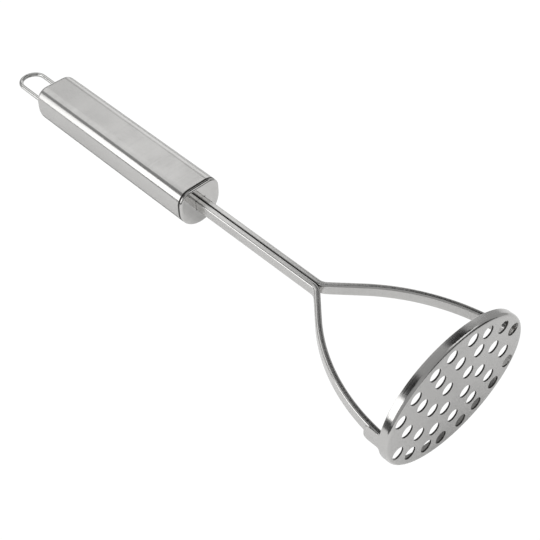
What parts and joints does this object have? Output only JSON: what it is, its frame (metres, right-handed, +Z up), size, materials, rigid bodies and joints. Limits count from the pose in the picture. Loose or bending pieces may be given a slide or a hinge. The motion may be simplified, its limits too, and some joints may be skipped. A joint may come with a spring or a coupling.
{
  "type": "potato masher",
  "caption": "All-steel hand masher with a perforated oval head, two bent flat bars that spread into arms and end on the ears of its rim, a hollow flat-topped handle and a wire hanging loop.",
  "frame": {"origin": "the centre of the oval mashing face, on its outside", "axes": "the masher lies at rest as on a table: +Z is up out of the handle's flat top, +X runs from the head to the handle and its hanging loop, +Y runs across the head's length. The tool's own axis dips below +X by the 4.47 degrees of its rest"},
  "size_m": [0.3097, 0.0862, 0.0673],
  "materials": {
    "brushed_steel": "brushed across the handle's flat, the rim and the bars' top faces",
    "polished_steel": "polished caps and wire",
    "weld_steel": "ground weld metal"
  },
  "bodies": {
    "root": {"head_plate": "brushed_steel", "left_bar": "brushed_steel", "right_bar": "brushed_steel", "left_arm_weld": "weld_steel", "right_arm_weld": "weld_steel", "crotch_weld": "weld_steel", "front_cap": "polished_steel", "tang_weld": "weld_steel", "handle_shell": "brushed_steel", "rear_cap": "brushed_steel", "hanging_loop": "polished_steel", "loop_welds": "weld_steel"}
  },
  "joints": []
}
